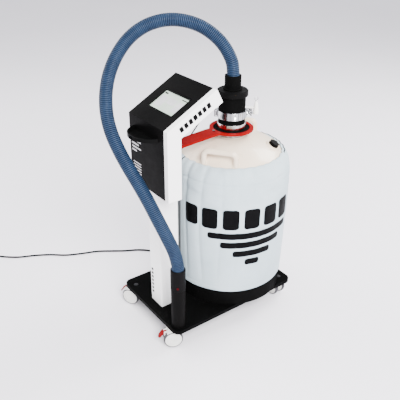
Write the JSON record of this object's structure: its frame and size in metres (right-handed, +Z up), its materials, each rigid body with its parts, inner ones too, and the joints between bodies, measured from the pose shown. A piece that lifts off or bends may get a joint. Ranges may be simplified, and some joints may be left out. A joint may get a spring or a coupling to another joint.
{
  "type": "liquid nitrogen dewar",
  "caption": "Wheeled liquid nitrogen dewar with insulating jacket, control column with touch screen, neck coupling and a corrugated vapour hose ending in a hand applicator.",
  "frame": {"origin": "On the floor, midway between the outermost side, front and back points of the cart without its hose and mains cord.", "axes": "+Z up; the screen side faces -Y and the dewar stands towards +Y; +X is the side of the white side panel and the applicator holder."},
  "size_m": [1.2118, 1.0969, 1.1918],
  "materials": {
    "black_plate": "fine-textured black powder coat",
    "black_paint": "satin black powder coat",
    "black_gloss": "glossy black",
    "black_plastic": "satin black",
    "black_rubber": "matt black",
    "white_paint": "white powder coat",
    "white_plastic": "white moulded",
    "castor_white": "white moulded",
    "castor_tyre": "dark grey tread",
    "red_plastic": "red moulded",
    "red_paint": "red powder coat",
    "steel": "bright stainless",
    "chrome": "polished",
    "aluminium": "anodised",
    "grey_metal": "grey",
    "cream_paint": "cream gloss lacquer",
    "jacket_fabric": "coated pale blue-grey fabric",
    "screen": "lit touch screen",
    "circuit_board": "solder mask",
    "hose_blue": "corrugated blue",
    "cord_black": "black sheath",
    "print_black": "printed black",
    "print_white": "printed pale grey"
  },
  "bodies": {
    "cart": {"base_plate": "black_plate", "plate_screws": "steel", "castor_stems": "steel", "foot_tub": "black_rubber", "mast": "aluminium", "column_cover": "white_paint", "power_supply": "grey_metal", "head_shell": "black_paint", "side_panel": "white_paint", "screen_frame": "black_plastic", "touch_screen": "screen", "control_board": "circuit_board", "tray": "black_gloss", "yoke": "red_paint", "yoke_grommet": "black_rubber", "yoke_screws": "steel", "dewar_shell": "cream_paint", "inner_vessel": "aluminium", "neck_tube": "steel", "neck_collar": "chrome", "handles": "cream_paint", "port_boss": "cream_paint", "port_cap": "black_plastic", "jacket": "jacket_fabric", "coupling_seal": "black_rubber", "clamp_front": "steel", "clamp_rear": "steel", "clamp_hinge_pin": "steel", "swing_pin": "steel", "coupling_body": "black_rubber", "coupling_cap": "black_plastic", "hose_cuff": "black_rubber", "riser_tube": "steel", "relief_valve": "white_plastic", "sensor_cable": "black_rubber", "hose": "hose_blue", "applicator_grip": "black_plastic", "applicator_nozzle": "black_plastic", "holder_tube": "black_paint", "cord_gland": "black_plastic", "mains_cord": "cord_black", "cord_coil": "cord_black", "mains_plug": "black_plastic"},
    "swivel_front_left": {"castor_front_left": "castor_white"},
    "wheels_front_left": {"wheels_front_left": "castor_white"},
    "pedal_front_left": {"pedal_front_left": "red_plastic"},
    "swivel_front_right": {"castor_front_right": "castor_white"},
    "wheels_front_right": {"wheels_front_right": "castor_white"},
    "pedal_front_right": {"pedal_front_right": "red_plastic"},
    "swivel_rear_left": {"castor_rear_left": "castor_white"},
    "wheels_rear_left": {"wheels_rear_left": "castor_white"},
    "swivel_rear_right": {"castor_rear_right": "castor_white"},
    "wheels_rear_right": {"wheels_rear_right": "castor_white"},
    "swing_bolt": {"swing_bolt": "steel"},
    "wing_nut": {"wing_nut": "steel"},
    "relief_pull": {"relief_ring": "steel"},
    "button": {"release_button": "red_plastic"}
  },
  "joints": [
    {"name": "castor_swivel_front_left", "type": "hinge", "parent": "cart", "child": "swivel_front_left", "pos_m": [-0.155, -0.264, 0.07], "axis": [0, 0, 1], "continuous": true},
    {"name": "wheel_spin_front_left", "type": "hinge", "parent": "swivel_front_left", "child": "wheels_front_left", "pos_m": [-0.17059, -0.273, 0.0375], "axis": [0.5, -0.866, 0], "continuous": true},
    {"name": "brake_pedal_front_left", "type": "hinge", "parent": "swivel_front_left", "child": "pedal_front_left", "pos_m": [-0.19484, -0.287, 0.061], "axis": [0.5, -0.866, 0], "range_deg": [0, 18]},
    {"name": "castor_swivel_front_right", "type": "hinge", "parent": "cart", "child": "swivel_front_right", "pos_m": [0.155, -0.264, 0.07], "axis": [0, 0, 1], "continuous": true},
    {"name": "wheel_spin_front_right", "type": "hinge", "parent": "swivel_front_right", "child": "wheels_front_right", "pos_m": [0.14739, -0.28031, 0.0375], "axis": [0.9063, -0.4226, 0], "continuous": true},
    {"name": "brake_pedal_front_right", "type": "hinge", "parent": "swivel_front_right", "child": "pedal_front_right", "pos_m": [0.13556, -0.30569, 0.061], "axis": [0.9063, -0.4226, 0], "range_deg": [0, 18]},
    {"name": "castor_swivel_rear_left", "type": "hinge", "parent": "cart", "child": "swivel_rear_left", "pos_m": [-0.155, 0.27, 0.07], "axis": [0, 0, 1], "continuous": true},
    {"name": "wheel_spin_rear_left", "type": "hinge", "parent": "swivel_rear_left", "child": "wheels_rear_left", "pos_m": [-0.173, 0.27, 0.0375], "axis": [0, -1, 0], "continuous": true},
    {"name": "castor_swivel_rear_right", "type": "hinge", "parent": "cart", "child": "swivel_rear_right", "pos_m": [0.155, 0.27, 0.07], "axis": [0, 0, 1], "continuous": true},
    {"name": "wheel_spin_rear_right", "type": "hinge", "parent": "swivel_rear_right", "child": "wheels_rear_right", "pos_m": [0.137, 0.27, 0.0375], "axis": [0, -1, 0], "continuous": true},
    {"name": "clamp_bolt_swing", "type": "hinge", "parent": "cart", "child": "swing_bolt", "pos_m": [0.00942, 0.17194, 0.8315], "axis": [0, 0, 1], "range_deg": [0, 90]},
    {"name": "wing_nut_turn", "type": "hinge", "parent": "swing_bolt", "child": "wing_nut", "pos_m": [0.03087, 0.1662, 0.8315], "axis": [0.9659, -0.2588, 0], "continuous": true},
    {"name": "relief_ring_pull", "type": "slide", "parent": "cart", "child": "relief_pull", "axis": [0, 0, 1], "range_m": [0, 0.003]},
    {"name": "applicator_button_press", "type": "slide", "parent": "cart", "child": "button", "axis": [-0.8039, 0.5948, 0], "range_m": [0, 0.0012]}
  ]
}
